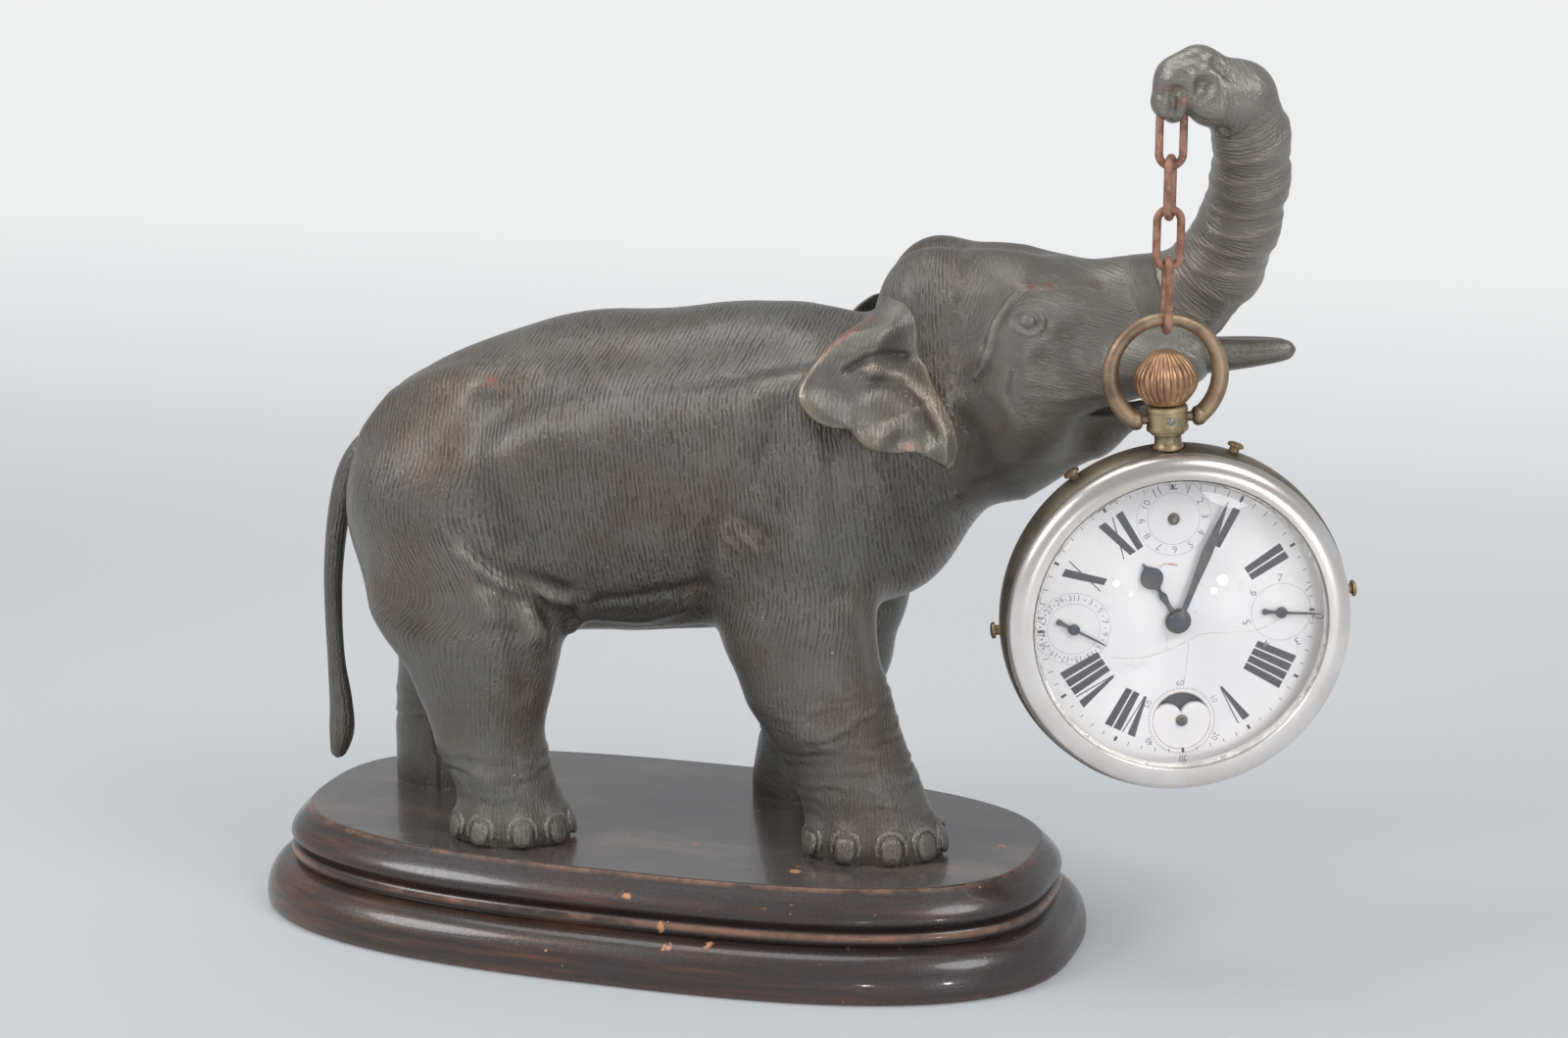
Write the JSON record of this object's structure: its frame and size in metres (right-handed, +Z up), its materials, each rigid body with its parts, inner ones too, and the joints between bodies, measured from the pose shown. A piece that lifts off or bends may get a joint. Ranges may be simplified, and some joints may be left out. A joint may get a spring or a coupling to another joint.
{
  "type": "figural clock",
  "caption": "Cast elephant on a moulded wooden plinth, holding a large calendar pocket watch on a short chain from its raised trunk.",
  "frame": {"origin": "middle of the plinth's underside", "axes": "+X along the plinth towards the elephant's head, +Y away from the viewer, +Z up"},
  "size_m": [0.235, 0.0942, 0.1899],
  "materials": {
    "lacquered_wood": "dark brown-black lacquer, worn to copper-brown on the edges",
    "cast_bronze": "cast metal, grey-brown patina, low sheen",
    "coppered_wire": "coppery, slightly rusted wire",
    "case_brass": "worn gunmetal-coloured brass",
    "crown_brass": "worn gilt, polished by fingers",
    "bezel_silver": "bright worn silver",
    "crystal_glass": "clear, high-domed",
    "dial_enamel": "white vitreous enamel with hairlines",
    "blued_steel": "blued",
    "screw_steel": "plain turned",
    "movement_brass": "brushed"
  },
  "bodies": {
    "stand": {"wooden_plinth": "lacquered_wood", "foot_screw_1": "screw_steel", "foot_screw_2": "screw_steel", "foot_screw_3": "screw_steel", "foot_screw_4": "screw_steel", "elephant_body": "cast_bronze", "elephant_head": "cast_bronze", "right_ear": "cast_bronze", "left_ear": "cast_bronze", "right_tusk": "cast_bronze", "left_tusk": "cast_bronze", "tail": "cast_bronze"},
    "link_1": {"chain_link_1": "coppered_wire"},
    "link_2": {"chain_link_2": "coppered_wire"},
    "link_3": {"chain_link_3": "coppered_wire"},
    "link_4": {"chain_link_4": "coppered_wire"},
    "bow": {"bow": "case_brass"},
    "watch": {"pendant": "case_brass", "pendant_screw": "screw_steel", "case_band": "case_brass", "back_cover": "case_brass", "bezel": "bezel_silver", "crystal": "crystal_glass", "dial": "dial_enamel", "movement_plate": "movement_brass", "train_bridge": "movement_brass"},
    "crown": {"crown": "crown_brass", "winding_stem": "screw_steel"},
    "minute": {"minute_hand": "blued_steel"},
    "hour": {"hour_hand": "blued_steel"},
    "date": {"date_hand": "blued_steel"},
    "day": {"day_hand": "blued_steel"},
    "month": {"month_arbor": "crown_brass"},
    "seconds": {"seconds_arbor": "crown_brass"},
    "moon": {"moon_disc": "blued_steel"},
    "date_corrector": {"date_corrector": "crown_brass"},
    "month_corrector": {"month_corrector": "crown_brass"},
    "setting_pin": {"setting_pin": "crown_brass"},
    "day_corrector": {"day_corrector": "crown_brass"}
  },
  "joints": [
    {"name": "link_1_swing", "type": "hinge", "parent": "stand", "child": "link_1", "pos_m": [0.10705, -0.01, 0.1768], "axis": [0.6884, -0.7254, 0], "range_deg": [-12, 12]},
    {"name": "link_2_swing", "type": "hinge", "parent": "link_1", "child": "link_2", "pos_m": [0.10705, -0.01, 0.16725], "axis": [0.9304, 0.3665, 0], "range_deg": [-20, 6]},
    {"name": "link_3_swing", "type": "hinge", "parent": "link_2", "child": "link_3", "pos_m": [0.10705, -0.01, 0.15735], "axis": [0.0087, 1, 0], "range_deg": [-20, 14]},
    {"name": "link_4_swing", "type": "hinge", "parent": "link_3", "child": "link_4", "pos_m": [0.10705, -0.01, 0.14745], "axis": [-0.9304, -0.3665, 0], "range_deg": [-12, 20]},
    {"name": "bow_swing", "type": "hinge", "parent": "link_4", "child": "bow", "pos_m": [0.10705, -0.01, 0.13505], "axis": [0.3665, -0.9304, 0], "range_deg": [-25, 25]},
    {"name": "watch_tilt", "type": "hinge", "parent": "bow", "child": "watch", "pos_m": [0.10765, -0.00976, 0.11775], "axis": [0.9284, 0.3657, 0.0663], "range_deg": [-30, 30]},
    {"name": "crown_turn", "type": "hinge", "parent": "watch", "child": "crown", "pos_m": [0.10765, -0.00976, 0.11775], "axis": [-0.0617, -0.0243, 0.9978], "continuous": true},
    {"name": "minute_turn", "type": "hinge", "parent": "watch", "child": "minute", "pos_m": [0.11016, -0.00877, 0.07719], "axis": [0.3665, -0.9304, 0], "continuous": true},
    {"name": "hour_turn", "type": "hinge", "parent": "watch", "child": "hour", "pos_m": [0.11016, -0.00877, 0.07719], "axis": [0.3665, -0.9304, 0], "continuous": true},
    {"name": "date_turn", "type": "hinge", "parent": "watch", "child": "date", "pos_m": [0.09076, -0.01641, 0.07581], "axis": [0.3665, -0.9304, 0], "continuous": true},
    {"name": "day_turn", "type": "hinge", "parent": "watch", "child": "day", "pos_m": [0.12956, -0.00113, 0.07858], "axis": [0.3665, -0.9304, 0], "continuous": true},
    {"name": "month_turn", "type": "hinge", "parent": "watch", "child": "month", "pos_m": [0.10887, -0.00928, 0.09804], "axis": [0.3665, -0.9304, 0], "continuous": true},
    {"name": "seconds_turn", "type": "hinge", "parent": "watch", "child": "seconds", "pos_m": [0.11145, -0.00826, 0.05634], "axis": [0.3665, -0.9304, 0], "continuous": true},
    {"name": "moon_turn", "type": "hinge", "parent": "watch", "child": "moon", "pos_m": [0.11145, -0.00826, 0.05634], "axis": [0.3665, -0.9304, 0], "continuous": true},
    {"name": "date_corrector_push", "type": "slide", "parent": "watch", "child": "date_corrector", "axis": [0.9284, 0.3657, 0.0663], "range_m": [0, 0.0009], "stiffness_N_per_m": 300},
    {"name": "month_corrector_push", "type": "slide", "parent": "watch", "child": "month_corrector", "axis": [0.5443, 0.2144, -0.8111], "range_m": [0, 0.0009], "stiffness_N_per_m": 300},
    {"name": "setting_pin_push", "type": "slide", "parent": "watch", "child": "setting_pin", "axis": [-0.2906, -0.1145, -0.95], "range_m": [0, 0.0009], "stiffness_N_per_m": 300},
    {"name": "day_corrector_push", "type": "slide", "parent": "watch", "child": "day_corrector", "axis": [-0.9218, -0.3631, -0.1357], "range_m": [0, 0.0009], "stiffness_N_per_m": 300}
  ],
  "couplings": [
    {"joint": "hour_turn", "follows": "minute_turn", "ratio": 0.083333}
  ]
}
